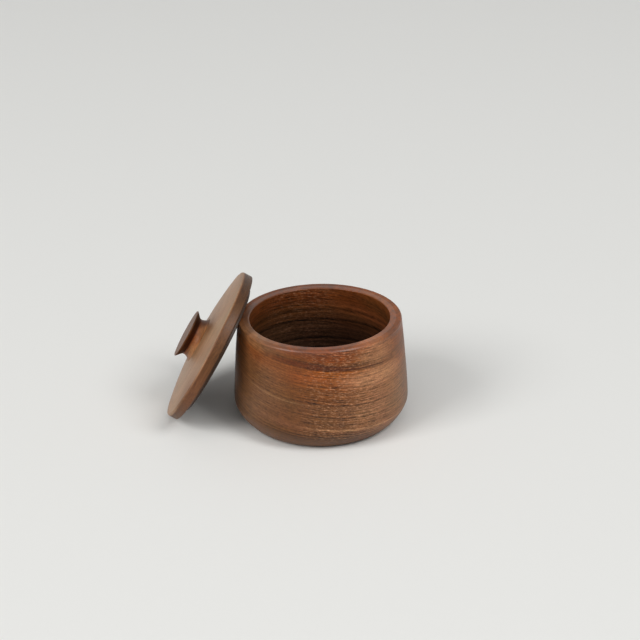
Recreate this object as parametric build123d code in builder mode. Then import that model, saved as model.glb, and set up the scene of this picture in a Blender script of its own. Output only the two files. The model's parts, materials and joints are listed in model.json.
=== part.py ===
# Lidded wooden bowl, turned on a lathe: a hollow body, a lid that drops into its
# mouth, and a spool-shaped knob glued into the lid. Millimetres, +Z up.
# The origin is the centre of the body's base. The lid is off: it leans on the rim
# at -X with the lower edge of its flange on the table.
import os
from math import cos, radians, sin

from build123d import *

# Body, outside
BELLY_RADIUS = 50.0  # widest ring of the body
BELLY_HEIGHT = 14.2  # height of the widest ring above the table
FOOT_RADIUS = 38.6  # where the base curve leaves the table
RIM_RADIUS = 46.6
BODY_HEIGHT = 62.3
RIM_LEAN = 5.6  # degrees by which the wall leans in just below the rim
RIM_ROUNDING = 0.8
BASE_CURVE_FULLNESS = 0.35  # handle length of the base curve, as a share of its width and height
WALL_LOWER_HANDLE = 8.2  # length over which the wall stays upright above the belly
WALL_UPPER_HANDLE = 18.3  # length over which it keeps the lean of the rim

# Body, inside
MOUTH_RADIUS = 40.0
MOUTH_ROUNDING = 0.6
SEAT_DEPTH = 5.0  # straight land that takes the lid's spigot
UNDERCUT = 10.6  # degrees by which the hollow opens out just below the land
UNDERCUT_HANDLE = 10.8
HOLLOW_RADIUS = 43.6  # widest ring of the hollow
HOLLOW_RADIUS_HEIGHT = 22.0
HOLLOW_UPPER_HANDLE = 12.4
HOLLOW_LOWER_HANDLE = 9.8
FLOOR_RADIUS = 26.0  # where the inside corner runs out onto the floor
FLOOR_HEIGHT = 8.0
FLOOR_HANDLE = 8.8
FLOOR_DISH = 0.4

# Lid, heights measured from the underside of its flange
FLANGE_RADIUS = 46.4
FLANGE_THICKNESS = 6.1
FLANGE_UPPER_ROUNDING = 1.2
FLANGE_LOWER_ROUNDING = 0.8
CROWN_HEIGHT = 10.2  # flat seat under the knob
CROWN_SAGITTA = 0.6  # bulge of the domed face above a straight cone
SPIGOT_CLEARANCE = 0.5  # gap all round between spigot and mouth
SPIGOT_DEPTH = 2.2
SPIGOT_ROUNDING = 0.5
UNDERSIDE_RADIUS = 36.5  # the underside is turned slightly hollow inside this ring
UNDERSIDE_DEPTH = 0.8

# Knob
KNOB_FOOT_RADIUS = 13.8
KNOB_NECK_RADIUS = 11.15
KNOB_NECK_HEIGHT = 14.3  # the narrowest ring, nearer to the disc than to the lid
KNOB_NECK_HANDLE = 1.3  # length over which the neck stays straight before it turns out to the disc
KNOB_DISC_RADIUS = 14.35
KNOB_TOP_HEIGHT = 18.5
KNOB_EDGE_THICKNESS = 0.5
KNOB_EDGE_ROUNDING = 0.2
KNOB_BEVEL = 50.0  # degrees by which the underside of the disc falls towards the neck
KNOB_BEVEL_HANDLE = 2.4  # length over which it keeps that slope
TENON_RADIUS = 5.0
TENON_LENGTH = 5.0
TENON_ROUNDING = 0.4

# The lid's spigot and the knob's socket, from the sizes above
SPIGOT_RADIUS = MOUTH_RADIUS - SPIGOT_CLEARANCE
SOCKET_BOTTOM = CROWN_HEIGHT - TENON_LENGTH

# How the lid leans
LEAN = 60.15  # degrees between the lid's axis and the vertical
SWING = -4.7  # degrees by which the leaning lid is turned away from -X
SIDE_SLIP = -2.4  # the lid stands this far to one side of the middle of the rim
REST_GAP = 0.2  # clearance left where the lid meets the rim
TABLE_GAP = 0.3  # clearance left between the lid and the table

os.makedirs("parts", exist_ok=True)


def leaning_centre(outward, sideways):
    """Centre of the flange's underside when the lid leans on the rim and stands on the table."""
    lean = radians(LEAN)
    edge = FLANGE_RADIUS - FLANGE_LOWER_ROUNDING
    height = edge * sin(lean) + FLANGE_LOWER_ROUNDING * (1 - cos(lean)) + TABLE_GAP
    rim_inset = RIM_ROUNDING * (1 - sin(radians(RIM_LEAN))) / cos(radians(RIM_LEAN))
    rim_reach = (RIM_RADIUS - rim_inset) * sin(lean)
    rim_reach += (BODY_HEIGHT - RIM_ROUNDING) * cos(lean) + RIM_ROUNDING
    touch_radius = BODY_HEIGHT / sin(lean) - FLANGE_RADIUS
    hollow = UNDERSIDE_DEPTH * (1 - (touch_radius / UNDERSIDE_RADIUS) ** 2)
    standoff = rim_reach + SPIGOT_DEPTH - hollow + REST_GAP
    distance = (standoff - height * cos(lean)) / sin(lean)
    return outward * distance + sideways * SIDE_SLIP + Vector(0, 0, height)


def round_corner(profile, x, y, radius):
    """Round the corner of a half profile that lies at (x, y)."""
    corner = profile.vertices().sort_by_distance((x, y))[0]
    fillet(corner, radius)


# Frame of the leaning lid: its own axis, the way down its slope, and across
outward = Vector(-cos(radians(SWING)), -sin(radians(SWING)), 0)
upward = Vector(0, 0, 1)
lid_normal = outward * sin(radians(LEAN)) + upward * cos(radians(LEAN))
down_slope = outward * cos(radians(LEAN)) - upward * sin(radians(LEAN))
sideways = lid_normal.cross(down_slope)
lid_centre = leaning_centre(outward, sideways)
lid_axis = Axis(lid_centre, lid_normal)
lid_section = Plane(origin=lid_centre, x_dir=down_slope, z_dir=down_slope.cross(lid_normal))

# Bowl: one turned profile, base curve, long wall, rim, lid seat, hollow and floor
with BuildPart() as bowl:
    with BuildSketch(Plane.XZ) as bowl_profile:
        with BuildLine():
            foot = Vector(FOOT_RADIUS, 0)
            belly = Vector(BELLY_RADIUS, BELLY_HEIGHT)
            rim = Vector(RIM_RADIUS, BODY_HEIGHT)
            foot_handle = Vector(BASE_CURVE_FULLNESS * (BELLY_RADIUS - FOOT_RADIUS), 0)
            belly_handle = Vector(0, BASE_CURVE_FULLNESS * BELLY_HEIGHT)
            wall_lower_handle = Vector(0, WALL_LOWER_HANDLE)
            wall_upper_handle = Vector(0, -WALL_UPPER_HANDLE).rotate(Axis.Z, RIM_LEAN)
            Line((0, 0), foot)
            Bezier(foot, foot + foot_handle, belly - belly_handle, belly)
            Bezier(belly, belly + wall_lower_handle, rim + wall_upper_handle, rim)

            mouth = Vector(MOUTH_RADIUS, BODY_HEIGHT)
            seat_end = mouth - Vector(0, SEAT_DEPTH)
            hollow = Vector(HOLLOW_RADIUS, HOLLOW_RADIUS_HEIGHT)
            floor_edge = Vector(FLOOR_RADIUS, FLOOR_HEIGHT)
            floor_middle = Vector(0, FLOOR_HEIGHT - FLOOR_DISH)
            undercut_handle = Vector(0, -UNDERCUT_HANDLE).rotate(Axis.Z, UNDERCUT)
            hollow_upper_handle = Vector(0, HOLLOW_UPPER_HANDLE)
            hollow_lower_handle = Vector(0, -HOLLOW_LOWER_HANDLE)
            floor_handle = Vector(FLOOR_HANDLE, 0)
            Line(rim, mouth)
            Line(mouth, seat_end)
            Bezier(seat_end, seat_end + undercut_handle, hollow + hollow_upper_handle, hollow)
            Bezier(hollow, hollow + hollow_lower_handle, floor_edge + floor_handle, floor_edge)
            TangentArc(floor_middle, floor_edge, tangent=(1, 0))
            Line(floor_middle, (0, 0))
        make_face()
        round_corner(bowl_profile, MOUTH_RADIUS, BODY_HEIGHT, MOUTH_ROUNDING)
        round_corner(bowl_profile, RIM_RADIUS, BODY_HEIGHT, RIM_ROUNDING)
    revolve(axis=Axis.Z)
bowl.part.label = "bowl"
export_step(bowl.part, "parts/bowl.step")

# Lid: domed flange, spigot below it, and a blind socket for the knob's tenon
with BuildPart() as lid:
    with BuildSketch(lid_section) as lid_profile:
        with BuildLine():
            dome_foot = (FLANGE_RADIUS, FLANGE_THICKNESS)
            dome_head = (KNOB_FOOT_RADIUS, CROWN_HEIGHT)
            Line((UNDERSIDE_RADIUS, -SPIGOT_DEPTH), (SPIGOT_RADIUS, -SPIGOT_DEPTH))
            Line((SPIGOT_RADIUS, -SPIGOT_DEPTH), (SPIGOT_RADIUS, 0))
            Line((SPIGOT_RADIUS, 0), (FLANGE_RADIUS, 0))
            Line((FLANGE_RADIUS, 0), dome_foot)
            SagittaArc(dome_head, dome_foot, CROWN_SAGITTA)
            Line(dome_head, (TENON_RADIUS, CROWN_HEIGHT))
            Line((TENON_RADIUS, CROWN_HEIGHT), (TENON_RADIUS, SOCKET_BOTTOM))
            Line((TENON_RADIUS, SOCKET_BOTTOM), (0, SOCKET_BOTTOM))
            Line((0, SOCKET_BOTTOM), (0, UNDERSIDE_DEPTH - SPIGOT_DEPTH))
            underside_middle = (0, UNDERSIDE_DEPTH - SPIGOT_DEPTH)
            TangentArc(underside_middle, (UNDERSIDE_RADIUS, -SPIGOT_DEPTH), tangent=(1, 0))
        make_face()
        round_corner(lid_profile, FLANGE_RADIUS, 0, FLANGE_LOWER_ROUNDING)
        round_corner(lid_profile, FLANGE_RADIUS, FLANGE_THICKNESS, FLANGE_UPPER_ROUNDING)
        round_corner(lid_profile, SPIGOT_RADIUS, -SPIGOT_DEPTH, SPIGOT_ROUNDING)
    revolve(axis=lid_axis)
lid.part.label = "lid"
export_step(lid.part, "parts/lid.step")

# Knob: a short spool, a disc with a bevelled underside on a neck that flares onto the lid, and a
# tenon that fills the socket
with BuildPart() as knob:
    with BuildSketch(lid_section) as knob_profile:
        with BuildLine():
            knob_foot = Vector(KNOB_FOOT_RADIUS, CROWN_HEIGHT)
            neck = Vector(KNOB_NECK_RADIUS, KNOB_NECK_HEIGHT)
            disc_edge = Vector(KNOB_DISC_RADIUS, KNOB_TOP_HEIGHT - KNOB_EDGE_THICKNESS)
            neck_handle = Vector(0, KNOB_NECK_HANDLE)
            bevel_handle = Vector(-KNOB_BEVEL_HANDLE, 0).rotate(Axis.Z, KNOB_BEVEL)
            Line((0, SOCKET_BOTTOM), (TENON_RADIUS, SOCKET_BOTTOM))
            Line((TENON_RADIUS, SOCKET_BOTTOM), (TENON_RADIUS, CROWN_HEIGHT))
            Line((TENON_RADIUS, CROWN_HEIGHT), knob_foot)
            TangentArc(neck, knob_foot, tangent=(0, -1))
            Bezier(neck, neck + neck_handle, disc_edge + bevel_handle, disc_edge)
            Line(disc_edge, (KNOB_DISC_RADIUS, KNOB_TOP_HEIGHT))
            Line((KNOB_DISC_RADIUS, KNOB_TOP_HEIGHT), (0, KNOB_TOP_HEIGHT))
            Line((0, KNOB_TOP_HEIGHT), (0, SOCKET_BOTTOM))
        make_face()
        round_corner(knob_profile, KNOB_DISC_RADIUS, KNOB_TOP_HEIGHT, KNOB_EDGE_ROUNDING)
        round_corner(knob_profile, disc_edge.X, disc_edge.Y, KNOB_EDGE_ROUNDING)
        round_corner(knob_profile, TENON_RADIUS, SOCKET_BOTTOM, TENON_ROUNDING)
    revolve(axis=lid_axis)
knob.part.label = "knob"
export_step(knob.part, "parts/knob.step")

print("lid centre", lid_centre)
print("lid normal", lid_normal)
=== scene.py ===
"""Looks of a small turned walnut bowl whose domed lid leans on its rim.

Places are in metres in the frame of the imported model: +Z up, the origin at the centre of the bowl's
base, -X towards the leaning lid and -Y towards the camera. Profiles and grain are written in
millimetres, as a turner measures them.
"""

import json
import logging
from dataclasses import KW_ONLY, dataclass, field
from enum import Enum
from math import asin, cos, pi, radians, sin, tan

import bpy
from mathutils import Euler, Matrix, Vector


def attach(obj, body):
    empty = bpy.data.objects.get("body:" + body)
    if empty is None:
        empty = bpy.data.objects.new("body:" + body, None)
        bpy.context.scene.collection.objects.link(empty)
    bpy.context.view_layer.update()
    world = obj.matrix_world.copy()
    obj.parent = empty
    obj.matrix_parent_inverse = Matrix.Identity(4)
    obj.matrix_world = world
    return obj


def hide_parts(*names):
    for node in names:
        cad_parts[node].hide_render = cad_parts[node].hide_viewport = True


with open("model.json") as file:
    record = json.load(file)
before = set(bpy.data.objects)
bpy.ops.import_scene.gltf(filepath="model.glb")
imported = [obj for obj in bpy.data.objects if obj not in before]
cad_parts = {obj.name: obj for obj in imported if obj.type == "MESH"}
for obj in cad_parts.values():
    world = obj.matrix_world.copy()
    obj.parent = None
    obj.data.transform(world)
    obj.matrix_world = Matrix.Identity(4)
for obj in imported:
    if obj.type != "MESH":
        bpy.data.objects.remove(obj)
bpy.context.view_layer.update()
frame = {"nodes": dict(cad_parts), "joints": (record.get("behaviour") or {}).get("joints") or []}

MM = 0.001
PATH_ATTRIBUTE = "turned_path"  # millimetres along the half section, for marks that follow the lathe
CUT_ATTRIBUTE = "cut_depth"
SKIN = 0.03  # mm that sanding takes off, so that no facet stands outside the solid
SECTION_STEP = 0.5  # mm between points of a half section
ARC_STEPS = 8  # steps in a rounded corner
WELD = 1e-6  # metres within which the points of a seam become one
SEED_STEP = 100.0  # how far apart two seeds lie in the rings' noise
HANDLE_RISE = 4 / 3  # how far a curve's handles stand off its chord, for each mm of its sagitta
OCTAVE_SHARE = 0.6  # strength of each finer octave of a noise, as a share of the one before
NOISE_SPAN = (0.3, 0.7)  # where nearly all of a noise lies

Tree = bpy.types.NodeTree
Socket = bpy.types.NodeSocket
Triple = tuple[float, float, float]

log = logging.getLogger("bowl")


class Cut(Enum):
    """How deep the tool's rings are left in a stretch of surface, in millimetres."""

    BURNISHED = 0.0
    SANDED = 0.02
    SCRAPED = 0.035
    GOUGED = 0.09


def linear(hex_colour: str) -> tuple[float, float, float, float]:
    """Turn an sRGB hex colour to linear light.

    Args:
        hex_colour: colour such as "#6b4530".

    Returns:
        Red, green, blue and alpha.
    """
    channels = [int(hex_colour[i:i + 2], 16) / 255 for i in (1, 3, 5)]
    light = [c / 12.92 if c <= 0.04045 else ((c + 0.055) / 1.055) ** 2.4 for c in channels]
    return (light[0], light[1], light[2], 1.0)


def add_node(tree: Tree, kind: str, inputs: dict | None = None, **settings) -> bpy.types.Node:
    """Add a node to a tree.

    Args:
        tree: tree that takes the node.
        kind: type name of the node.
        inputs: value or output socket for each input, by name or index.
        settings: properties of the node itself.

    Returns:
        The node.
    """
    node = tree.nodes.new(kind)
    for name, value in settings.items():
        setattr(node, name, value)
    for key, value in (inputs or {}).items():
        if isinstance(value, Socket):
            tree.links.new(value, node.inputs[key])
        else:
            node.inputs[key].default_value = value
    return node


@dataclass
class HalfSection:
    """Half of a turned profile, as points (radius, height) in mm from one end of the axis to the other."""

    points: list[Vector] = field(default_factory=list)
    cuts: list[float] = field(default_factory=list)
    corners: list[tuple[int, float]] = field(default_factory=list)

    def _add(self, point: Vector, cut: Cut) -> None:
        """Add one point with the depth of its tool rings."""
        self.points.append(point)
        self.cuts.append(cut.value)

    def start(self, radius: float, height: float, cut: Cut = Cut.SANDED) -> "HalfSection":
        """Start on the axis."""
        self._add(Vector((radius, height)), cut)
        return self

    def line(self, radius: float, height: float, cut: Cut = Cut.SANDED) -> "HalfSection":
        """Go straight to a point.

        Args:
            radius: distance of the point from the axis.
            height: height of the point.
            cut: how the stretch was cut.

        Returns:
            The section itself.
        """
        begin, end = self.points[-1], Vector((radius, height))
        steps = max(1, round((end - begin).length / SECTION_STEP))
        for i in range(1, steps + 1):
            self._add(begin.lerp(end, i / steps), cut)
        return self

    def curve(self, leave: Vector, arrive: Vector, end: Vector, cut: Cut = Cut.SANDED) -> "HalfSection":
        """Go along a cubic curve.

        Args:
            leave: handle at the beginning, from the last point.
            arrive: handle at the end, from the end.
            end: last point of the curve.
            cut: how its end was cut; the depth changes evenly from that of the last point.

        Returns:
            The section itself.
        """
        begin = self.points[-1]
        first, second = begin + leave, end + arrive
        rough_length = (first - begin).length + (second - first).length + (end - second).length
        steps = max(2, round(rough_length / SECTION_STEP))
        shallow = self.cuts[-1]
        for i in range(1, steps + 1):
            t = i / steps
            s = 1 - t
            near_begin = begin * s ** 3 + first * 3 * s * s * t
            self.points.append(near_begin + second * 3 * s * t * t + end * t ** 3)
            self.cuts.append(s * shallow + t * cut.value)
        return self

    def flare(self, neck: Vector, cut: Cut = Cut.SANDED) -> "HalfSection":
        """Go up a round cove that is upright where it reaches the neck.

        Args:
            neck: end of the cove, its narrowest place.
            cut: how the stretch was cut.

        Returns:
            The section itself.
        """
        foot = self.points[-1]
        out, drop = foot.x - neck.x, neck.y - foot.y
        radius = (out * out + drop * drop) / (2 * out)
        centre = Vector((neck.x + radius, neck.y))
        sweep = asin(drop / radius)
        steps = max(2, round(radius * sweep / SECTION_STEP))
        for i in range(1, steps + 1):
            angle = pi + sweep * (1 - i / steps)
            self._add(centre + radius * Vector((cos(angle), sin(angle))), cut)
        return self

    def corner(self, radius: float) -> "HalfSection":
        """Mark the last point as a corner to be rounded to a radius."""
        self.corners.append((len(self.points) - 1, radius))
        return self

    def rounded(self) -> "HalfSection":
        """Round the marked corners.

        Returns:
            A new section with an arc in place of each marked corner.
        """
        result = HalfSection()
        radii = dict(self.corners)
        for i, (point, cut) in enumerate(zip(self.points, self.cuts)):
            if i in radii:
                places = self._arc(i, radii[i])
            elif self._is_cut_off(point):
                places = []
            else:
                places = [point]
            result.points.extend(places)
            result.cuts.extend([cut] * len(places))
        return result

    def _is_cut_off(self, point: Vector) -> bool:
        """Tell whether the arc of a marked corner replaces a point."""
        return any((self.points[i] - point).length <= self._reach(i, radius) for i, radius in self.corners)

    def _sides(self, i: int) -> tuple[Vector, Vector]:
        """Directions from a corner back along the section and on along it."""
        here = self.points[i]
        return (self.points[i - 1] - here).normalized(), (self.points[i + 1] - here).normalized()

    def _reach(self, i: int, radius: float) -> float:
        """Distance from a corner to where its arc begins."""
        back, on = self._sides(i)
        return radius / tan(back.angle(on) / 2)

    def _arc(self, i: int, radius: float) -> list[Vector]:
        """Make the arc that rounds a corner.

        Args:
            i: index of the corner.
            radius: radius of the arc.

        Returns:
            The points of the arc.
        """
        back, on = self._sides(i)
        here, reach = self.points[i], self._reach(i, radius)
        centre = here + (back + on).normalized() * radius / sin(back.angle(on) / 2)
        begin, end = here + back * reach - centre, here + on * reach - centre
        return [centre + begin.slerp(end, k / ARC_STEPS) * radius for k in range(ARC_STEPS + 1)]

    def mesh(self, name: str) -> bpy.types.Mesh:
        """Make the section a chain of points in the XZ plane, in metres.

        Args:
            name: name of the mesh.

        Returns:
            The mesh, with the way along the section and the cut's depth as attributes.
        """
        mesh = bpy.data.meshes.new(name)
        mesh.from_pydata([(p.x * MM, 0.0, p.y * MM) for p in self.points], [], [])
        way = [0.0]
        for a, b in zip(self.points, self.points[1:]):
            way.append(way[-1] + (b - a).length)
        for attribute, values in ((PATH_ATTRIBUTE, way), (CUT_ATTRIBUTE, self.cuts)):
            layer = mesh.attributes.new(attribute, "FLOAT", "POINT")
            layer.data.foreach_set("value", values)
        return mesh


def lathe_tree() -> Tree:
    """Build the geometry nodes that turn a half section about Z.

    Returns:
        Tree with the section, the facets round, the rings' pitch, the seed and the finish as inputs.
    """
    tree = bpy.data.node_groups.new("lathe", "GeometryNodeTree")
    sockets = (
        ("Section", "NodeSocketGeometry"),
        ("Facets", "NodeSocketInt"),
        ("Ring pitch", "NodeSocketFloat"),
        ("Skin", "NodeSocketFloat"),
        ("Seed", "NodeSocketInt"),
        ("Finish", "NodeSocketMaterial"),
    )
    for name, kind in sockets:
        tree.interface.new_socket(name, in_out="INPUT", socket_type=kind)
    tree.interface.new_socket("Turned piece", in_out="OUTPUT", socket_type="NodeSocketGeometry")
    given = add_node(tree, "NodeGroupInput").outputs

    # A sheet with one row for each point of the section and one column for each facet, and one to close it
    row_inputs = {"Geometry": given["Section"]}
    rows = add_node(tree, "GeometryNodeAttributeDomainSize", row_inputs, component="MESH")
    columns = add_node(tree, "ShaderNodeMath", {0: given["Facets"], 1: 1.0}, operation="ADD")
    sheet_inputs = {"Vertices X": rows.outputs["Point Count"], "Vertices Y": columns.outputs[0]}
    sheet = add_node(tree, "GeometryNodeMeshGrid", sheet_inputs)

    # Where each corner of the sheet is on the section, and how far round
    index = add_node(tree, "GeometryNodeInputIndex").outputs[0]
    count = columns.outputs[0]
    share = add_node(tree, "ShaderNodeMath", {0: index, 1: count}, operation="DIVIDE").outputs[0]
    row = add_node(tree, "ShaderNodeMath", {0: share}, operation="FLOOR").outputs[0]
    left = add_node(tree, "ShaderNodeMath", {0: share, 1: row}, operation="SUBTRACT").outputs[0]
    column = add_node(tree, "ShaderNodeMath", {0: left, 1: count}, operation="MULTIPLY").outputs[0]
    facet = add_node(tree, "ShaderNodeMath", {0: column}, operation="ROUND").outputs[0]
    turns = add_node(tree, "ShaderNodeMath", {0: facet, 1: given["Facets"]}, operation="DIVIDE").outputs[0]
    angle = add_node(tree, "ShaderNodeMath", {0: turns, 1: -2 * pi}, operation="MULTIPLY")
    section_place = add_node(tree, "GeometryNodeInputPosition").outputs[0]
    place_inputs = {"Geometry": given["Section"], "Value": section_place, "Index": row}
    place = add_node(tree, "GeometryNodeSampleIndex", place_inputs, data_type="FLOAT_VECTOR")
    turn_inputs = {"Vector": place.outputs["Value"], "Angle": angle.outputs[0]}
    turned = add_node(tree, "ShaderNodeVectorRotate", turn_inputs, rotation_type="Z_AXIS")
    bent_inputs = {"Geometry": sheet.outputs["Mesh"], "Position": turned.outputs[0]}
    piece = add_node(tree, "GeometryNodeSetPosition", bent_inputs).outputs[0]
    for attribute in (PATH_ATTRIBUTE, CUT_ATTRIBUTE):
        stored = add_node(tree, "GeometryNodeInputNamedAttribute", {"Name": attribute})
        sample_inputs = {"Geometry": given["Section"], "Value": stored.outputs["Attribute"], "Index": row}
        sampled = add_node(tree, "GeometryNodeSampleIndex", sample_inputs)
        store_inputs = {"Geometry": piece, "Name": attribute, "Value": sampled.outputs["Value"]}
        piece = add_node(tree, "GeometryNodeStoreNamedAttribute", store_inputs).outputs[0]
    closed = add_node(tree, "GeometryNodeMergeByDistance", {"Geometry": piece, "Distance": WELD})

    # Rings that the tool leaves: cut into the surface by a random depth that changes along the section
    way = add_node(tree, "GeometryNodeInputNamedAttribute", {"Name": PATH_ATTRIBUTE})
    depth = add_node(tree, "GeometryNodeInputNamedAttribute", {"Name": CUT_ATTRIBUTE})
    pitch_inputs = {0: way.outputs["Attribute"], 1: given["Ring pitch"]}
    pitched = add_node(tree, "ShaderNodeMath", pitch_inputs, operation="DIVIDE")
    seed_inputs = {0: given["Seed"], 1: SEED_STEP, 2: pitched.outputs[0]}
    seeded = add_node(tree, "ShaderNodeMath", seed_inputs, operation="MULTIPLY_ADD")
    ring_inputs = {"W": seeded.outputs[0], "Scale": 1.0, "Detail": 1.0}
    rings = add_node(tree, "ShaderNodeTexNoise", ring_inputs, noise_dimensions="1D")
    cut_inputs = {0: rings.outputs[0], 1: depth.outputs["Attribute"], 2: given["Skin"]}
    cut = add_node(tree, "ShaderNodeMath", cut_inputs, operation="MULTIPLY_ADD")
    inward = add_node(tree, "ShaderNodeMath", {0: cut.outputs[0], 1: -MM}, operation="MULTIPLY")
    normal = add_node(tree, "GeometryNodeInputNormal")
    shift_inputs = {0: normal.outputs[0], "Scale": inward.outputs[0]}
    shift = add_node(tree, "ShaderNodeVectorMath", shift_inputs, operation="SCALE")
    ringed_inputs = {"Geometry": closed.outputs[0], "Offset": shift.outputs[0]}
    ringed = add_node(tree, "GeometryNodeSetPosition", ringed_inputs)
    smooth = add_node(tree, "GeometryNodeSetShadeSmooth", {"Geometry": ringed.outputs[0]})
    real = add_node(tree, "GeometryNodeRealizeInstances", {"Geometry": smooth.outputs[0]})
    finish_inputs = {"Geometry": real.outputs[0], "Material": given["Finish"]}
    finished = add_node(tree, "GeometryNodeSetMaterial", finish_inputs)
    add_node(tree, "NodeGroupOutput", {0: finished.outputs[0]})
    return tree


@dataclass
class Lathe:
    """The lathe that every piece is turned on."""

    tree: Tree = field(default_factory=lathe_tree)

    def turn(
        self, name: str, section: HalfSection, finish: bpy.types.Material, place: Matrix,
        facets: int, ring_pitch: float, seed: int,
    ) -> bpy.types.Object:
        """Turn a half section and put the piece in its place.

        Args:
            name: name of the finished object.
            section: half profile in millimetres.
            finish: material of the piece.
            place: matrix from the lathe's frame to the model's.
            facets: number of facets round the piece.
            ring_pitch: distance between the tool's rings, in millimetres.
            seed: number that changes the rings.

        Returns:
            The piece, with its place in its mesh.
        """
        blank = bpy.data.objects.new(f"{name}_section", section.mesh(f"{name}_section"))
        bpy.context.scene.collection.objects.link(blank)
        modifier = blank.modifiers.new("lathe", "NODES")
        modifier.node_group = self.tree
        values = {"Facets": facets, "Ring pitch": ring_pitch, "Skin": SKIN, "Seed": seed, "Finish": finish}
        for socket in self.tree.interface.items_tree:
            if socket.in_out == "INPUT" and socket.name in values:
                modifier[socket.identifier] = values[socket.name]
        blank.update_tag()
        shaped = blank.evaluated_get(bpy.context.evaluated_depsgraph_get())
        mesh = bpy.data.meshes.new_from_object(shaped)
        mesh.name = name
        mesh.transform(place)
        bpy.data.objects.remove(blank)
        piece = bpy.data.objects.new(name, mesh)
        bpy.context.scene.collection.objects.link(piece)
        return piece


def lathe_place(node: str, axis: Vector, lowest: float) -> Matrix:
    """Find where a turned piece sits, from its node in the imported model.

    Args:
        node: name of the CAD node.
        axis: direction of the piece's own axis.
        lowest: its lowest point along that axis in its own frame, in metres.

    Returns:
        Matrix from the lathe's frame, +Z along the axis and +X down the slope, to the model's.
    """
    slope = (axis * axis.z - Vector((0, 0, 1))).normalized()
    turn = Matrix((slope, axis.cross(slope), axis)).transposed()
    points = [turn.transposed() @ v.co for v in frame["nodes"][node].data.vertices]
    middle = Vector([(max(p[i] for p in points) + min(p[i] for p in points)) / 2 for i in (0, 1)] + [0])
    middle.z = min(p.z for p in points) - lowest
    return Matrix.Translation(turn @ middle) @ turn.to_4x4()


# Tones of oiled walnut, from the open pores to the torn ends of the fibres, and tones of painted shade and
# sheen
# Dark of the open pores, also laid as painted shade under the knob's disc
PORE_AND_SHADE = "#1e1009"
LATE_WOOD = "#2e1004"
UMBER = "#5a371b"
EARTH = "#643f22"
HAZEL = "#674024"
CHESTNUT = "#6c3e1b"
SIENNA = "#784119"
RUST = "#86481f"
GINGER = "#8e4a0d"
RUSSET = "#74350a"
BURNT = "#55240a"
# Painted shade in the hollow, under the knob's disc and on the neck's up-slope side
PAINTED_SHADE_BROWN = "#3c1a0a"
COCOA = "#3b2617"
BUFF = "#a06e4a"
# Painted sheen on the bowl's left side and on its far right edge
PAINTED_SHEEN_GREY = "#79583f"
PAINTED_SHEEN_PALE = "#806350"
TAN = "#73492f"
STRAW = "#c08f68"
PALE = "#9e7b62"
# Pale of the torn fibre ends, also laid as painted sheen on the bowl's right side
FIBRE_ENDS_AND_SHEEN = "#c99571"
RED_CAST = "#fff0e6"
OLIVE_CAST = "#f2fae8"

# Growth layers of each blank: height through the layers in mm, and the tone there, some of it painted shade
BOWL_LAYERS = (
    (8.0, EARTH),
    (13.3, UMBER),
    (16.0, EARTH),
    (19.7, TAN),
    (22.5, HAZEL),
    (33.0, HAZEL),
    (37.0, CHESTNUT),
    (42.0, CHESTNUT),
    (46.0, SIENNA),
    (49.8, RUST),
    (54.0, SIENNA),
    (56.0, CHESTNUT),
    (58.5, CHESTNUT),
    (61.0, SIENNA),
    (68.0, RUST),
)
LID_LAYERS = (
    # The spigot and underside are drawn dark: painted shade where the lid sits in the bowl
    (-4.0, COCOA),
    (-1.2, COCOA),
    (0.0, UMBER),
    (2.0, EARTH),
    (4.2, UMBER),
    (4.7, TAN),
    (5.2, PALE),
    (11.0, PALE),
    (14.0, TAN),
)
KNOB_LAYERS = (
    (4.0, EARTH),
    (9.6, PALE),
    (11.0, BUFF),
    (13.2, BUFF),
    (14.3, SIENNA),
    # The disc's underside: painted shade
    (15.2, PAINTED_SHADE_BROWN),
    (17.4, PAINTED_SHADE_BROWN),
    (18.2, HAZEL),
    (20.0, HAZEL),
)


@dataclass(frozen=True)
class Mark:
    """A mark in the figure, some marks painted shade and sheen: a soft round or flat body of another tone
    inside the plank. Sizes in mm.
    """

    tone: str
    strength: float
    along: float  # place of its middle along the fibres
    across: float
    height: float  # through the growth layers
    run: float  # half its size along the fibres
    width: float
    thickness: float
    core: float = 0.3  # share of its size that has the full strength


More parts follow.
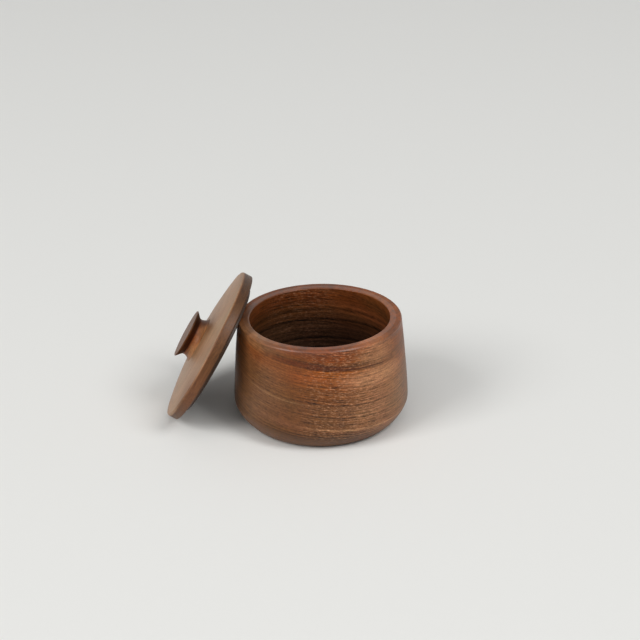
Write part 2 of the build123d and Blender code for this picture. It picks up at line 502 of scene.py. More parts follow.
BOWL_MARKS = (
    # Painted sheen: the bowl's left side drawn greyer and paler
    Mark(PAINTED_SHEEN_GREY, 0.45, along=5, across=-52, height=38, run=40, width=30, thickness=44),
    # Partly the paler torn end grain, partly painted sheen on the side that faces the right lamp
    Mark(FIBRE_ENDS_AND_SHEEN, 0.34, along=48, across=32, height=38, run=36, width=54, thickness=46),
    Mark(GINGER, 0.55, along=42, across=-14, height=53.0, run=28, width=24, thickness=5.5),
    Mark(RUSSET, 0.75, along=42, across=-22, height=63.5, run=32, width=32, thickness=7),
    Mark(BURNT, 0.35, along=32, across=-30, height=62, run=22, width=20, thickness=4),
    Mark(RUST, 0.5, along=12, across=-46, height=53.5, run=28, width=24, thickness=6),
    Mark(FIBRE_ENDS_AND_SHEEN, 0.45, along=42, across=8, height=49.5, run=34, width=30, thickness=7),
    Mark(FIBRE_ENDS_AND_SHEEN, 0.35, along=36, across=9, height=63, run=26, width=18, thickness=8),
    # Painted sheen: the bowl's far right edge drawn greyer
    Mark(PAINTED_SHEEN_PALE, 0.5, along=26, across=42, height=32, run=34, width=24, thickness=30),
    Mark(STRAW, 0.45, along=46, across=4, height=20.2, run=34, width=44, thickness=1.2),
    Mark(STRAW, 0.2, along=22, across=-42, height=33.5, run=40, width=30, thickness=0.9),
    Mark(BURNT, 0.8, along=34, across=-28, height=56.5, run=50, width=34, thickness=2.8),
    Mark(RUSSET, 0.6, along=-40, across=6, height=58, run=36, width=54, thickness=14),
    Mark(COCOA, 0.25, along=-52, across=8, height=58.5, run=20, width=50, thickness=5),
    Mark(COCOA, 0.35, along=25, across=30, height=69, run=26, width=26, thickness=5),
    Mark(BUFF, 0.6, along=-4, across=-46, height=57.5, run=24, width=13, thickness=5),
    Mark(RUST, 0.6, along=46, across=-6, height=66, run=11, width=24, thickness=6),
    # Painted shade: the floor and lower hollow drawn dark
    Mark(PAINTED_SHADE_BROWN, 0.8, along=-7.8, across=2.3, height=27.5, run=42, width=42, thickness=40, core=0.85),
)
BOWL_VEINS = (
    Mark(LATE_WOOD, 0.8, along=40, across=-6, height=56.0, run=32, width=36, thickness=0.5, core=0.5),
    Mark(LATE_WOOD, 0.6, along=40, across=-12, height=57.5, run=30, width=28, thickness=0.5, core=0.5),
)
LID_MARKS = (
    Mark(COCOA, 0.7, along=-48, across=0, height=2.0, run=26, width=50, thickness=4.5),
    Mark(COCOA, 0.12, along=-16, across=44, height=0.5, run=18, width=12, thickness=3.5),
    Mark(TAN, 0.75, along=18, across=42, height=3.0, run=26, width=22, thickness=6),
    # Painted shadow of the knob's disc on the lid's face, up the slope
    Mark(HAZEL, 0.6, along=-15, across=10, height=9.6, run=8, width=12, thickness=3),
    # Partly grain, partly painted shade and reflected colour of the knob beside its foot
    Mark(SIENNA, 0.3, along=-13, across=18, height=9, run=34, width=8, thickness=4),
)
KNOB_MARKS = (
    Mark(RUST, 0.5, along=7, across=7, height=12.4, run=8, width=6, thickness=3),
    # Painted shade on the up-slope side of the neck's foot
    Mark(UMBER, 0.5, along=5.5, across=11, height=11.6, run=7, width=5, thickness=3),
    # Painted shade on the up-slope side of the neck, under the disc
    Mark(PAINTED_SHADE_BROWN, 0.85, along=-5, across=11.5, height=12.6, run=9, width=7, thickness=5),
    # Painted shade under the up-slope half of the disc
    Mark(PORE_AND_SHADE, 0.6, along=-2, across=15, height=16.8, run=14, width=10, thickness=4),
)


@dataclass(frozen=True)
class Strength:
    """How strongly a pattern lightens and darkens the wood."""

    along: float  # on long grain
    ends: float  # on torn fibre ends


@dataclass(frozen=True)
class Walnut:
    """Black walnut heartwood, turned across its fibres, sanded and wiped with oil.

    Growth layers show as bands, brown with rust and tan, and the open pores as short dark dashes
    along the fibres. Where the tool cut the fibres across, their torn ends scatter the light: the
    wood looks paler there, with dashes and specks. The oil leaves a satin sheen.
    """

    name: str
    layers: tuple[tuple[float, str], ...]
    marks: tuple[Mark, ...]
    veins: tuple[Mark, ...] = ()  # thin dark lines, which tear less
    _: KW_ONLY
    heading: float  # degrees from the piece's X axis to the way that the fibres run
    dip: float  # degrees by which the fibres run down
    roll: float  # degrees by which the layers tilt across the fibres
    wander: float = 1.3  # mm by which the layers wave
    wave_size: Triple = (90.0, 36.0, 36.0)  # mm, of those waves
    patch_size: Triple = (38.0, 15.0, 10.0)  # mm, broad figure
    cast_size: Triple = (30.0, 11.0, 11.0)  # mm, redder and greener places
    line_pitch: float = 1.05  # mm between fine growth lines
    streak_run: float = 24.0  # mm that a streak runs along the fibres
    streak_width: float = 0.9  # mm
    pore_run: float = 6.0  # mm
    pore_pitch: float = 1.0  # mm, drawn about twice as coarse as real pores, so that they show
    pore_edge: tuple[float, float] = (0.1, 0.3)  # shares of the pitch over which a pore's edge fades
    pore_darkness: float = 0.28  # how far a pore takes its own dark tone
    dash_run: float = 4.5  # mm, fibres torn along the tool's way
    dash_pitch: float = 0.65  # mm
    speck_run: float = 1.8  # mm, tufts of torn fibre ends
    speck_pitch: float = 0.6  # mm
    speck_edge: tuple[float, float] = (0.5, 0.72)  # values of the noise over which a speck fades in
    tear: float = 0.4  # strength of the specks
    gouged_tear: float = 0.4  # share of the tearing that a sharp gouge leaves
    tear_limit: float = 0.78  # cosine between fibres and normal past which the ends tear
    tear_turn: float = -7.0  # degrees to the side where the tool cuts uphill and tears more
    ring_pitch: float = 2.4  # mm between the gouge's rings in the hollow
    ring_strength: float = 4.2  # how strongly those rings lighten and darken it
    sanding_pitch: float = 0.35  # mm between the rings left by the sandpaper
    sanding_relief: float = 0.012  # mm, height of those rings
    fibre_run: float = 8.0  # mm
    fibre_width: float = 0.35  # mm
    fibre_relief: float = 0.02  # mm
    torn_relief: float = 0.15  # mm, height of the torn ends
    pore_depth: float = 0.04  # mm
    roughness: float = 0.4  # satin, as the oil leaves it
    roughness_spread: tuple[float, float] = (-0.05, 0.09)  # from one streak to another
    rubbed: float = 0.4  # polish on the rim, rubbed smooth with shavings
    rubbed_limit: float = 1 / 16  # share of the sanded depth at which the polish ends
    burnished: float = 0.28  # roughness of that polish
    specular: float = 0.25  # weaker than on varnish, because the oil leaves the fibres open
    lining: Strength = Strength(along=0.9, ends=2.0)  # of the fine growth lines
    streaking: Strength = Strength(along=1.2, ends=1.0)  # of the streaks
    patching: Strength = Strength(along=0.4, ends=0.4)  # of the broad figure
    dashing: Strength = Strength(along=1.2, ends=2.4)  # of the dashes
    contrast: float = 1.0  # factor on all four
    hollow_shade: float = 0.3  # tone left in the gouged hollow: painted shade
    hollow_shade_grey: float = 0.9  # saturation left there, greyed as painted light reflected inside the hollow

    def material(self, place: Matrix) -> bpy.types.Material:
        """Make the finish for a piece.

        Args:
            place: matrix from the piece's own frame to the model's.

        Returns:
            The material.
        """
        material = bpy.data.materials.new(self.name)
        material.use_nodes = True
        tree = material.node_tree
        tree.nodes.clear()
        plank = self._plank(tree, place)
        height = self._layer_height(tree, plank)
        gouged = self._gouged(tree)
        ends = self._fibre_ends(tree, place, gouged)
        streak_size = (self.streak_run, self.streak_width, self.streak_width)
        streaks = self._noise(tree, plank, streak_size, detail=3.0)
        dashes = self._noise(tree, plank, (self.dash_run, self.dash_run, self.dash_pitch), detail=2.0)
        pores = self._pores(tree, plank)
        shade = self._shade(tree, plank, height, streaks, dashes, ends, gouged)
        figure = self._marked(tree, plank, height, self._layer_tones(tree, height), self.marks)
        torn = self._torn(tree, plank, figure, ends)
        veined = self._marked(tree, plank, height, torn, self.veins)
        shader_inputs = {
            "Base Color": self._colour(tree, veined, shade, pores, gouged),
            "Roughness": self._sanded(tree, streaks),
            "Coat Weight": self._rubbed(tree),
            "Coat Roughness": self.burnished,
            "Specular IOR Level": self.specular,
            "Normal": self._bump(tree, plank, pores, dashes, ends),
        }
        shader = add_node(tree, "ShaderNodeBsdfPrincipled", shader_inputs)
        add_node(tree, "ShaderNodeOutputMaterial", {"Surface": shader.outputs[0]})
        return material

    def _turn(self) -> Matrix:
        """Turn from the plank's frame, +X along the fibres and +Z through the layers, to the piece's."""
        return Euler((radians(self.roll), radians(self.dip), radians(self.heading))).to_matrix()

    def _plank(self, tree: Tree, place: Matrix) -> Socket:
        """Find the place of each point in the plank that the piece was turned from.

        Args:
            tree: tree of the material.
            place: matrix from the piece's own frame to the model's.

        Returns:
            Millimetres in the plank's frame.
        """
        inputs = {
            "Vector": add_node(tree, "ShaderNodeTexCoord").outputs["Object"],
            "Location": place.translation,
            "Rotation": (place.to_3x3() @ self._turn()).to_euler(),
            "Scale": (MM, MM, MM),
        }
        return add_node(tree, "ShaderNodeMapping", inputs, vector_type="TEXTURE").outputs[0]

    def _noise(self, tree: Tree, plank: Socket, size: Triple, detail: float = 1.0) -> Socket:
        """Make soft noise about a half, stretched to a size.

        Args:
            tree: tree of the material.
            plank: place in the plank.
            size: size of the spots along each of the plank's axes, in mm.
            detail: octaves of finer noise.

        Returns:
            The noise, from 0 to 1.
        """
        scale = tuple(1 / length for length in size)
        spread = add_node(tree, "ShaderNodeVectorMath", {0: plank, 1: scale}, operation="MULTIPLY")
        inputs = {"Vector": spread.outputs[0], "Scale": 1.0, "Detail": detail, "Roughness": OCTAVE_SHARE}
        return add_node(tree, "ShaderNodeTexNoise", inputs).outputs[0]

    def _layer_height(self, tree: Tree, plank: Socket) -> Socket:
        """Find the height through the growth layers, which wave a little.

        Args:
            tree: tree of the material.
            plank: place in the plank.

        Returns:
            The height in mm.
        """
        wave = self._noise(tree, plank, self.wave_size, detail=2.0)
        up = add_node(tree, "ShaderNodeSeparateXYZ", {0: plank})
        return self._add_centred(tree, wave, 2 * self.wander, up.outputs[2])

    def _fibre_ends(self, tree: Tree, place: Matrix, gouged: Socket) -> Socket:
        """Find where the tool cut the fibres across and tore their ends.

        Args:
            tree: tree of the material.
            place: matrix from the piece's own frame to the model's.
            gouged: how far the surface was left as the gouge cut it.

        Returns:
            From 0 on long grain to 1 on torn ends.
        """
        uphill = Matrix.Rotation(radians(self.tear_turn), 3, "Z")
        fibre = place.to_3x3() @ uphill @ self._turn() @ Vector((1, 0, 0))
        normal = add_node(tree, "ShaderNodeTexCoord").outputs["Normal"]
        facing = add_node(tree, "ShaderNodeVectorMath", {0: normal, 1: fibre}, operation="DOT_PRODUCT")
        size = add_node(tree, "ShaderNodeMath", {0: facing.outputs["Value"]}, operation="ABSOLUTE")
        kept_inputs = {"Value": gouged, "To Min": 1.0, "To Max": self.gouged_tear}
        kept = add_node(tree, "ShaderNodeMapRange", kept_inputs).outputs[0]
        inputs = {"Value": size.outputs[0], "From Min": self.tear_limit, "From Max": 1.0, "To Max": kept}
        return add_node(tree, "ShaderNodeMapRange", inputs, interpolation_type="SMOOTHSTEP").outputs[0]

    def _pores(self, tree: Tree, plank: Socket) -> Socket:
        """Find the open pores.

        Args:
            tree: tree of the material.
            plank: place in the plank.

        Returns:
            From 0 on solid wood to 1 in an open pore.
        """
        scale = (1 / self.pore_run, 1 / self.pore_pitch, 1 / self.pore_pitch)
        spread = add_node(tree, "ShaderNodeVectorMath", {0: plank, 1: scale}, operation="MULTIPLY")
        cells = add_node(tree, "ShaderNodeTexVoronoi", {"Vector": spread.outputs[0], "Scale": 1.0})
        inputs = {
            "Value": cells.outputs["Distance"],
            "From Min": self.pore_edge[0],
            "From Max": self.pore_edge[1],
            "To Min": 1.0,
            "To Max": 0.0,
        }
        return add_node(tree, "ShaderNodeMapRange", inputs, interpolation_type="SMOOTHSTEP").outputs[0]

    def _gouged(self, tree: Tree) -> Socket:
        """Find where the surface was left as the gouge cut it.

        Args:
            tree: tree of the material.

        Returns:
            From 0 where it was sanded to 1 where it was only gouged.
        """
        depth = add_node(tree, "ShaderNodeAttribute", attribute_name=CUT_ATTRIBUTE).outputs["Fac"]
        inputs = {"Value": depth, "From Min": Cut.SANDED.value, "From Max": Cut.GOUGED.value}
        return add_node(tree, "ShaderNodeMapRange", inputs).outputs[0]

    def _rubbed(self, tree: Tree) -> Socket:
        """Find where the rim was rubbed smooth.

        Args:
            tree: tree of the material.

        Returns:
            Strength of the polish.
        """
        inputs = {
            "Value": add_node(tree, "ShaderNodeAttribute", attribute_name=CUT_ATTRIBUTE).outputs["Fac"],
            "From Min": Cut.BURNISHED.value,
            "From Max": Cut.SANDED.value * self.rubbed_limit,
            "To Min": self.rubbed,
            "To Max": 0.0,
        }
        return add_node(tree, "ShaderNodeMapRange", inputs).outputs[0]

    def _sanded(self, tree: Tree, streaks: Socket) -> Socket:
        """Find how rough the sanded and oiled wood is, which changes with the streaks.

        Args:
            tree: tree of the material.
            streaks: noise along the fibres.

        Returns:
            The roughness.
        """
        inputs = {
            "Value": streaks,
            "From Min": NOISE_SPAN[0],
            "From Max": NOISE_SPAN[1],
            "To Min": self.roughness + self.roughness_spread[0],
            "To Max": self.roughness + self.roughness_spread[1],
        }
        return add_node(tree, "ShaderNodeMapRange", inputs).outputs[0]

    def _path_noise(self, tree: Tree, pitch: float) -> Socket:
        """Make noise that changes along the half section, for marks that run round the piece.

        Args:
            tree: tree of the material.
            pitch: distance between the marks in mm.

        Returns:
            The noise, from 0 to 1.
        """
        way = add_node(tree, "ShaderNodeAttribute", attribute_name=PATH_ATTRIBUTE).outputs["Fac"]
        pitched = add_node(tree, "ShaderNodeMath", {0: way, 1: pitch}, operation="DIVIDE").outputs[0]
        inputs = {"W": pitched, "Scale": 1.0, "Detail": 2.0}
        return add_node(tree, "ShaderNodeTexNoise", inputs, noise_dimensions="1D").outputs[0]

    def _shade(
        self, tree: Tree, plank: Socket, height: Socket, streaks: Socket, dashes: Socket, ends: Socket,
        gouged: Socket,
    ) -> Socket:
        """Make lighter and darker lines, streaks, figure and dashes, and painted shade in the hollow.

        Args:
            tree: tree of the material.
            plank: place in the plank.
            height: height through the growth layers.
            streaks: noise along the fibres.
            dashes: noise along the tool's way.
            ends: how far the surface cuts across the fibres.
            gouged: how far the surface was left as the gouge cut it.

        Returns:
            Factor on the tone's lightness.
        """
        pitched = add_node(tree, "ShaderNodeMath", {0: height, 1: self.line_pitch}, operation="DIVIDE")
        line_inputs = {"W": pitched.outputs[0], "Scale": 1.0, "Detail": 2.0}
        lines = add_node(tree, "ShaderNodeTexNoise", line_inputs, noise_dimensions="1D").outputs[0]
        patches = self._noise(tree, plank, self.patch_size)
        rings = self._path_noise(tree, self.ring_pitch)
        patterns = (
            (lines, self.lining),
            (streaks, self.streaking),
            (patches, self.patching),
            (dashes, self.dashing),
        )
        total = 1.0
        for source, strength in patterns:
            more_at_ends = (strength.ends - strength.along) * self.contrast
            inputs = {0: ends, 1: more_at_ends, 2: strength.along * self.contrast}
            here = add_node(tree, "ShaderNodeMath", inputs, operation="MULTIPLY_ADD").outputs[0]
            total = self._add_centred(tree, source, here, total)
        ring_inputs = {0: gouged, 1: self.ring_strength}
        ring_strength = add_node(tree, "ShaderNodeMath", ring_inputs, operation="MULTIPLY").outputs[0]
        total = self._add_centred(tree, rings, ring_strength, total)
        # Painted shade: the gouged hollow is drawn darker
        hollow_shade_inputs = {"Value": gouged, "To Min": 1.0, "To Max": self.hollow_shade}
        hollow_shade = add_node(tree, "ShaderNodeMapRange", hollow_shade_inputs).outputs[0]
        return add_node(tree, "ShaderNodeMath", {0: total, 1: hollow_shade}, operation="MULTIPLY").outputs[0]

    def _add_centred(
        self, tree: Tree, source: Socket, strength: Socket | float, total: Socket | float,
    ) -> Socket:
        """Add a noise to a total.

        Args:
            tree: tree of the material.
            source: the noise, about a half.
            strength: factor on what it differs from a half.
            total: what it is added to.

        Returns:
            The new total.
        """
        centred = add_node(tree, "ShaderNodeMath", {0: source, 1: 0.5}, operation="SUBTRACT").outputs[0]
        inputs = {0: centred, 1: strength, 2: total}
        return add_node(tree, "ShaderNodeMath", inputs, operation="MULTIPLY_ADD").outputs[0]

    def _layer_tones(self, tree: Tree, height: Socket) -> Socket:
        """Give each growth layer its tone.

        Args:
            tree: tree of the material.
            height: height through the growth layers.

        Returns:
            The tone at that height.
        """
        low, high = self.layers[0][0], self.layers[-1][0]
        share = add_node(tree, "ShaderNodeMapRange", {"Value": height, "From Min": low, "From Max": high})
        ramp = add_node(tree, "ShaderNodeValToRGB", {0: share.outputs[0]})
        stops = ramp.color_ramp.elements
        while len(stops) < len(self.layers):
            stops.new(0.5)
        for stop, (level, tone) in zip(stops, self.layers):
            stop.position = (level - low) / (high - low)
            stop.color = linear(tone)
        return ramp.outputs[0]

    def _marked(
        self, tree: Tree, plank: Socket, height: Socket, figure: Socket, marks: tuple[Mark, ...],
    ) -> Socket:
        """Lay marks over a colour.

        Args:
            tree: tree of the material.
            plank: place in the plank.
            height: height through the growth layers.
            figure: colour under the marks.
            marks: the marks, from the lowest to the one on top.

        Returns:
            The colour with its marks.
        """
        flat = add_node(tree, "ShaderNodeSeparateXYZ", {0: plank}).outputs
        layered = add_node(tree, "ShaderNodeCombineXYZ", {0: flat[0], 1: flat[1], 2: height}).outputs[0]
        for mark in marks:
            size = (mark.run, mark.width, mark.thickness)
            middle = (mark.along, mark.across, mark.height)
            scale = tuple(1 / length for length in size)
            offset = tuple(-m / length for m, length in zip(middle, size))
            inputs = {0: layered, 1: scale, 2: offset}
            relative = add_node(tree, "ShaderNodeVectorMath", inputs, operation="MULTIPLY_ADD").outputs[0]
            far = add_node(tree, "ShaderNodeVectorMath", {0: relative}, operation="LENGTH").outputs["Value"]
            inside_inputs = {"Value": far, "From Min": 1.0, "From Max": mark.core, "To Max": mark.strength}
            inside = add_node(
                tree, "ShaderNodeMapRange", inside_inputs, interpolation_type="SMOOTHSTEP"
            ).outputs[0]
            mix_inputs = {"Factor": inside, "A": figure, "B": linear(mark.tone)}
            figure = add_node(tree, "ShaderNodeMix", mix_inputs, data_type="RGBA").outputs["Result"]
        return figure

    def _torn(self, tree: Tree, plank: Socket, figure: Socket, ends: Socket) -> Socket:
        """Give a figure its red and olive casts and the pale tufts of torn fibre ends.

        Args:
            tree: tree of the material.
            plank: place in the plank.
            figure: tone of the figure.
            ends: how far the surface cuts across the fibres.

        Returns:
            The colour.
        """
        cast = self._noise(tree, plank, self.cast_size)
        cast_inputs = {"Factor": cast, "A": linear(RED_CAST), "B": linear(OLIVE_CAST)}
        tint = add_node(tree, "ShaderNodeMix", cast_inputs, data_type="RGBA").outputs["Result"]
        tint_inputs = {"Factor": 1.0, "A": figure, "B": tint}
        tinting = add_node(tree, "ShaderNodeMix", tint_inputs, data_type="RGBA", blend_type="MULTIPLY")
        speck_inputs = {
            "Value": self._noise(tree, plank, (self.speck_run, self.speck_run, self.speck_pitch)),
            "From Min": self.speck_edge[0],
            "From Max": self.speck_edge[1],
            "To Max": self.tear,
        }
        speck = add_node(tree, "ShaderNodeMapRange", speck_inputs).outputs[0]
        tufts = add_node(tree, "ShaderNodeMath", {0: ends, 1: speck}, operation="MULTIPLY").outputs[0]
        pale = {"Factor": tufts, "A": tinting.outputs["Result"], "B": linear(FIBRE_ENDS_AND_SHEEN)}
        return add_node(tree, "ShaderNodeMix", pale, data_type="RGBA").outputs["Result"]

    def _colour(self, tree: Tree, figure: Socket, shade: Socket, pores: Socket, gouged: Socket) -> Socket:
        """Shade a colour, open its pores and grey it in the gouged hollow, as painted reflected light.

        Args:
            tree: tree of the material.
            figure: colour of the wood.
            shade: factor on its lightness.
            pores: 1 in an open pore.
            gouged: how far the surface was left as the gouge cut it.

        Returns:
            The colour.
        """
        # Painted reflected light: the hollow's shaded colour is greyed
        greyed_inputs = {"Value": gouged, "To Min": 1.0, "To Max": self.hollow_shade_grey}
        greyed = add_node(tree, "ShaderNodeMapRange", greyed_inputs).outputs[0]
        shade_inputs = {"Color": figure, "Value": shade, "Saturation": greyed}
        shaded = add_node(tree, "ShaderNodeHueSaturation", shade_inputs).outputs[0]
        pore_inputs = {0: pores, 1: self.pore_darkness}
        darkening = add_node(tree, "ShaderNodeMath", pore_inputs, operation="MULTIPLY").outputs[0]
        dark = {"Factor": darkening, "A": shaded, "B": linear(PORE_AND_SHADE)}
        return add_node(tree, "ShaderNodeMix", dark, data_type="RGBA").outputs["Result"]

    def _bump(self, tree: Tree, plank: Socket, pores: Socket, dashes: Socket, ends: Socket) -> Socket:
        """Raise the fibres, torn ends and sanding rings, and sink the pores.

        Args:
            tree: tree of the material.
            plank: place in the plank.
            pores: 1 in an open pore.
            dashes: noise along the tool's way.
            ends: how far the surface cuts across the fibres.

        Returns:
            The normal of the surface.
        """
        rings = self._path_noise(tree, self.sanding_pitch)
        fibre_size = (self.fibre_run, self.fibre_width, self.fibre_width)
        fibres = self._noise(tree, plank, fibre_size, detail=2.0)
        torn = add_node(tree, "ShaderNodeMath", {0: dashes, 1: ends}, operation="MULTIPLY").outputs[0]
        reliefs = (
            (rings, self.sanding_relief),
            (fibres, self.fibre_relief),
            (torn, self.torn_relief),
            (pores, -self.pore_depth),
        )
        surface = 0.0
        for source, relief in reliefs:
            inputs = {0: source, 1: relief, 2: surface}
            surface = add_node(tree, "ShaderNodeMath", inputs, operation="MULTIPLY_ADD").outputs[0]
        return add_node(tree, "ShaderNodeBump", {"Height": surface, "Distance": MM}).outputs[0]


@dataclass
class Bowl:
    """The body: one block of walnut, turned outside and hollowed through its mouth.

    Sizes in mm. A handle is how far a curve keeps the direction that it has at that end.
    """

    belly_radius: float = 50.0
    belly_height: float = 14.2
    foot_radius: float = 38.6
    rim_radius: float = 46.6
    height: float = 62.3
    rim_lean: float = 5.6  # degrees by which the wall leans in at the rim
    edge_drop: float = 0.7  # height of the narrow slope sanded along the rim's outer edge
    edge_inset: float = 0.5  # how far that slope reaches in from the rim's radius
    edge_rounding: float = 0.3
    base_fullness: float = 0.35  # how square the wall turns into the base
    wall_lower_handle: float = 8.2
    wall_upper_handle: float = 18.3
    mouth_radius: float = 40.0
    mouth_rounding: float = 0.6
    polish_width: float = 3.9  # from the mouth to where the rim is only sanded
    seat_depth: float = 5.0  # the upright stretch that takes the lid's spigot
    undercut: float = 10.6  # degrees by which the hollow widens below it
    undercut_handle: float = 10.8
    hollow_radius: float = 43.6
    hollow_radius_height: float = 22.0
    hollow_upper_handle: float = 12.4
    hollow_lower_handle: float = 9.8
    floor_radius: float = 26.0
    floor_height: float = 8.0
    floor_handle: float = 8.8
    floor_dish: float = 0.4
    facets: int = 216
    ring_pitch: float = 2.2
    seed: int = 3

    def section(self) -> HalfSection:
        """Draw the body's half profile.

        Returns:
            The section from the middle of the base, up the wall, over the rim and down to the floor.
        """
        belly = Vector((self.belly_radius, self.belly_height))
        rim = Vector((self.rim_radius, self.height))
        hollow = Vector((self.hollow_radius, self.hollow_radius_height))
        floor_edge = Vector((self.floor_radius, self.floor_height))
        base_handle = Vector((self.base_fullness * (self.belly_radius - self.foot_radius), 0))
        belly_handle = Vector((0, -self.base_fullness * self.belly_height))
        lean, undercut = radians(self.rim_lean), radians(self.undercut)
        rim_way = Vector((sin(lean), -cos(lean)))
        rim_handle = (self.wall_upper_handle - self.edge_drop) * rim_way
        undercut_handle = self.undercut_handle * Vector((sin(undercut), -cos(undercut)))
        section = HalfSection().start(0, 0).line(self.foot_radius, 0)
        section.curve(base_handle, belly_handle, belly)
        edge = rim + self.edge_drop * rim_way
        section.curve(Vector((0, self.wall_lower_handle)), rim_handle, edge, Cut.BURNISHED)
        section.corner(self.edge_rounding)
        section.line(self.rim_radius - self.edge_inset, self.height, Cut.BURNISHED)
        section.corner(self.edge_rounding)
        section.line(self.mouth_radius + self.polish_width, self.height)
        section.line(self.mouth_radius, self.height, Cut.BURNISHED).corner(self.mouth_rounding)
        section.line(self.mouth_radius, self.height - self.seat_depth, Cut.SCRAPED)
        section.curve(undercut_handle, Vector((0, self.hollow_upper_handle)), hollow, Cut.GOUGED)
        section.curve(
            Vector((0, -self.hollow_lower_handle)), Vector((self.floor_handle, 0)), floor_edge, Cut.GOUGED
        )
        floor_middle = Vector((0, self.floor_height - self.floor_dish))
        third = self.floor_radius / 3
        section.curve(Vector((-third, 0)), Vector((third, 0)), floor_middle, Cut.GOUGED)
        return section.rounded()

    def build(self, lathe: Lathe) -> bpy.types.Object:
        """Turn the body and hand it to the frame.

        Args:
            lathe: the lathe.

        Returns:
            The piece.
        """
        place = Matrix.Identity(4)
        finish = Walnut(
            "walnut_body_turned_oiled", BOWL_LAYERS, BOWL_MARKS, BOWL_VEINS,
            heading=-66.0, dip=8.0, roll=-4.7,
        )
        piece = lathe.turn(
            "bowl_turned", self.section(), finish.material(place), place,
            self.facets, self.ring_pitch, self.seed,
        )
        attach(piece, "bowl")
        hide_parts("bowl")
        return piece


@dataclass
class Lid:
    """The lid: a domed flange over a spigot. Sizes in mm, heights from the flange's underside."""

    flange_radius: float = 46.4
    flange_thickness: float = 6.1
    flange_upper_rounding: float = 1.2
    flange_lower_rounding: float = 0.8
    crown_radius: float = 13.8
    crown_height: float = 10.2
    crown_sagitta: float = 0.6  # how far the dome rises over a straight cone
    spigot_radius: float = 39.5
    spigot_depth: float = 2.2
    spigot_rounding: float = 0.5
    underside_radius: float = 36.5
    underside_depth: float = 0.8
    socket_radius: float = 5.0
    socket_bottom: float = 5.2
    facets: int = 240
    ring_pitch: float = 2.6
    seed: int = 7

    def section(self) -> HalfSection:
        """Draw the lid's half profile.

        Returns:
            The section from the middle of the underside, over the edge and the dome into the socket.
        """
        dome_foot = Vector((self.flange_radius, self.flange_thickness))
        crown = Vector((self.crown_radius, self.crown_height))
        chord = crown - dome_foot
        swell = Vector((-chord.y, chord.x)).normalized() * -self.crown_sagitta * HANDLE_RISE
        third = self.underside_radius / 3
        dish_slope = 2 * self.underside_depth / self.underside_radius
        section = HalfSection().start(0, self.underside_depth - self.spigot_depth)
        section.curve(
            Vector((third, 0)), Vector((-third, third * dish_slope)),
            Vector((self.underside_radius, -self.spigot_depth)), Cut.SCRAPED,
        )
        section.line(self.spigot_radius, -self.spigot_depth).corner(self.spigot_rounding)
        section.line(self.spigot_radius, 0)
        section.line(self.flange_radius, 0).corner(self.flange_lower_rounding)
        section.line(*dome_foot).corner(self.flange_upper_rounding)
        section.curve(chord / 3 + swell, -chord / 3 + swell, crown)
        section.line(self.socket_radius, self.crown_height)
        section.line(self.socket_radius, self.socket_bottom)
        section.line(0, self.socket_bottom)
        return section.rounded()

    def place(self) -> Matrix:
        """Where the lid leans, from its node and the axis of its joint."""
        axis = Vector(frame["joints"][0]["axis"]).normalized()
        return lathe_place("lid", axis, -self.spigot_depth * MM)

    def build(self, lathe: Lathe) -> bpy.types.Object:
        """Turn the lid and hand it to the frame.

        Args:
            lathe: the lathe.

        Returns:
            The piece.
        """
        place = self.place()
        finish = Walnut(
            "walnut_lid_turned_oiled", LID_LAYERS, LID_MARKS, heading=6.0, dip=0.6, roll=1.0, tear=0.04,
            contrast=0.5, streaking=Strength(along=2.4, ends=1.0), dashing=Strength(along=0.2, ends=2.4),
            specular=0.28,
        )
        piece = lathe.turn(
            "lid_turned", self.section(), finish.material(place), place,
            self.facets, self.ring_pitch, self.seed,
        )
        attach(piece, "lid")
        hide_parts("lid")
        return piece


@dataclass
class Knob:
    """The knob: a short spool under a thin disc, with a tenon. Sizes in mm, heights as on the lid."""

    foot_radius: float = 13.8
    foot_height: float = 10.2
    neck_radius: float = 11.15
    neck_height: float = 14.3
    neck_handle: float = 1.3  # how far the neck stays upright
    disc_radius: float = 14.35
    top_height: float = 18.5
    edge_thickness: float = 0.5
    edge_rounding: float = 0.2
    bevel: float = 50.0  # degrees by which the underside of the disc falls towards the neck
    bevel_handle: float = 2.4
    tenon_radius: float = 5.0
    tenon_bottom: float = 5.2
    tenon_rounding: float = 0.4
    facets: int = 160
    ring_pitch: float = 1.4
    seed: int = 11

    def section(self) -> HalfSection:
        """Draw the knob's half profile.

        Returns:
            The section from the end of the tenon, up the neck and over the disc to its middle.
        """
        neck = Vector((self.neck_radius, self.neck_height))
        edge = Vector((self.disc_radius, self.top_height - self.edge_thickness))
        bevel = radians(self.bevel)
        bevel_handle = -self.bevel_handle * Vector((cos(bevel), sin(bevel)))
        section = HalfSection().start(0, self.tenon_bottom)
        section.line(self.tenon_radius, self.tenon_bottom).corner(self.tenon_rounding)
        section.line(self.tenon_radius, self.foot_height)
        section.line(self.foot_radius, self.foot_height)
        section.flare(neck)
        section.curve(Vector((0, self.neck_handle)), bevel_handle, edge).corner(self.edge_rounding)
        section.line(self.disc_radius, self.top_height).corner(self.edge_rounding)
        section.line(0, self.top_height)
        return section.rounded()

    def build(self, lathe: Lathe, lid: Lid) -> bpy.types.Object:
        """Turn the knob, seat it on the lid and hand it to the frame.

        Args:
            lathe: the lathe.
            lid: the lid that carries it.

        Returns:
            The piece.
        """
        place = lid.place()
        finish = Walnut(
            "walnut_knob_turned_oiled", KNOB_LAYERS, KNOB_MARKS, heading=70.0, dip=1.0, roll=-1.5,
            tear=0.04, contrast=0.6, streaking=Strength(along=2.0, ends=1.0),
            dashing=Strength(along=0.4, ends=2.4), specular=0.2,
        )
        piece = lathe.turn(
            "knob_turned", self.section(), finish.material(place), place,
            self.facets, self.ring_pitch, self.seed,
        )
        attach(piece, "lid")
        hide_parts("knob")
        return piece


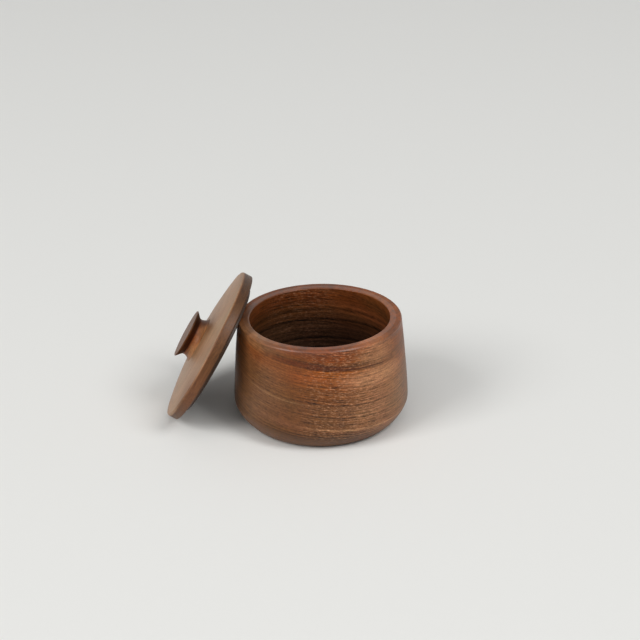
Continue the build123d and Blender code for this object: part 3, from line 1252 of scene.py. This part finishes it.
@dataclass(frozen=True)
class SoftBox:
    """A square diffused lamp that looks at the bowl."""

    name: str
    azimuth: float  # degrees from the camera's side towards +X
    elevation: float  # degrees above the table
    distance: float  # metres
    size: float  # metres
    power: float  # watts

    def build(self) -> None:
        """Put the lamp in its place."""
        azimuth, elevation = radians(self.azimuth), radians(self.elevation)
        level = cos(elevation)
        direction = Vector((level * sin(azimuth), -level * cos(azimuth), sin(elevation)))
        lamp = bpy.data.lights.new(self.name, "AREA")
        lamp.size = self.size
        lamp.energy = self.power
        holder = bpy.data.objects.new(self.name, lamp)
        holder.location = direction * self.distance
        holder.rotation_euler = direction.to_track_quat("Z", "Y").to_euler()
        bpy.context.scene.collection.objects.link(holder)


@dataclass
class Studio:
    """Pale floor, soft boxes on both sides and in front, and the camera. Sizes in metres."""

    floor_radius: float = 8.0
    floor_facets: int = 96
    floor_colour: str = "#ebebe8"
    floor_roughness: float = 0.9
    floor_specular: float = 0.1
    backdrop_colour: str = "#dedddb"
    aim: Triple = (0.000187, 0.0, 0.060103)  # where the middle of the picture is
    distance: float = 1.2
    elevation: float = 24.815  # degrees above the table
    roll: float = -1.122  # degrees
    focal_px: float = 2112.0
    picture_px: float = 640.0
    sensor: float = 36.0  # mm
    nearest: float = 0.05  # what the camera sees begins here
    farthest: float = 60.0
    sky: float = 0.22  # strength of the even light
    backdrop: float = 1.0  # strength of the backdrop, where 1 is its own colour
    lamps: tuple[SoftBox, ...] = (
        SoftBox("left_soft_box", azimuth=-53.0, elevation=38.0, distance=5.0, size=2.2, power=110.0),
        SoftBox("right_soft_box", azimuth=49.0, elevation=48.0, distance=5.0, size=1.8, power=85.0),
        SoftBox("front_soft_box", azimuth=0.0, elevation=56.0, distance=5.0, size=5.0, power=78.0),
    )

    def build(self) -> None:
        """Make the floor, the lights and the camera."""
        self._floor()
        self._sky()
        for lamp in self.lamps:
            lamp.build()
        self._camera()

    def _floor(self) -> None:
        """Make a board in matt paint, which scatters the light evenly and mirrors nothing."""
        material = bpy.data.materials.new("painted_board_matt")
        material.use_nodes = True
        shader = material.node_tree.nodes["Principled BSDF"]
        shader.inputs["Base Color"].default_value = linear(self.floor_colour)
        shader.inputs["Roughness"].default_value = self.floor_roughness
        shader.inputs["Specular IOR Level"].default_value = self.floor_specular
        bpy.ops.mesh.primitive_circle_add(
            vertices=self.floor_facets, radius=self.floor_radius, fill_type="NGON"
        )
        floor = bpy.context.object
        floor.name = "floor"
        floor.data.materials.append(material)

    def _sky(self) -> None:
        """Make even light from all sides, and a pale backdrop that is seen and mirrored."""
        world = bpy.data.worlds.new("studio")
        world.use_nodes = True
        tree = world.node_tree
        tree.nodes.clear()
        light = add_node(tree, "ShaderNodeBackground", {"Color": (1, 1, 1, 1), "Strength": self.sky})
        seen_inputs = {"Color": linear(self.backdrop_colour), "Strength": self.backdrop}
        seen = add_node(tree, "ShaderNodeBackground", seen_inputs)
        rays = add_node(tree, "ShaderNodeLightPath").outputs
        looks = {0: rays["Is Camera Ray"], 1: rays["Is Glossy Ray"]}
        either = add_node(tree, "ShaderNodeMath", looks, operation="MAXIMUM")
        mix_inputs = {0: either.outputs[0], 1: light.outputs[0], 2: seen.outputs[0]}
        mixed = add_node(tree, "ShaderNodeMixShader", mix_inputs)
        add_node(tree, "ShaderNodeOutputWorld", {"Surface": mixed.outputs[0]})
        bpy.context.scene.world = world

    def _camera(self) -> None:
        """Put the camera at the photograph's place, height and turn."""
        rise, turn = radians(self.elevation), radians(self.roll)
        back = Vector((0, -cos(rise), sin(rise)))
        right, up = Vector((1, 0, 0)), Vector((0, sin(rise), cos(rise)))
        camera_right = right * cos(turn) + up * sin(turn)
        camera_up = up * cos(turn) - right * sin(turn)
        camera = bpy.data.objects.new("camera", bpy.data.cameras.new("camera"))
        camera.data.sensor_width = self.sensor
        camera.data.lens = self.focal_px / self.picture_px * self.sensor
        camera.data.clip_start = self.nearest
        camera.data.clip_end = self.farthest
        turned = Matrix((camera_right, camera_up, back)).transposed().to_4x4()
        camera.matrix_world = Matrix.Translation(Vector(self.aim) + back * self.distance) @ turned
        bpy.context.scene.collection.objects.link(camera)
        bpy.context.scene.camera = camera


def main() -> None:
    """Build the studio and the bowl's pieces in order."""
    logging.basicConfig(level=logging.INFO, format="%(message)s")
    bpy.context.scene.view_settings.view_transform = "Standard"
    Studio().build()
    lathe = Lathe()
    lid = Lid()
    for piece in (Bowl().build(lathe), lid.build(lathe), Knob().build(lathe, lid)):
        log.info("%s: %d faces", piece.name, len(piece.data.polygons))


if __name__ == "__main__":
    main()
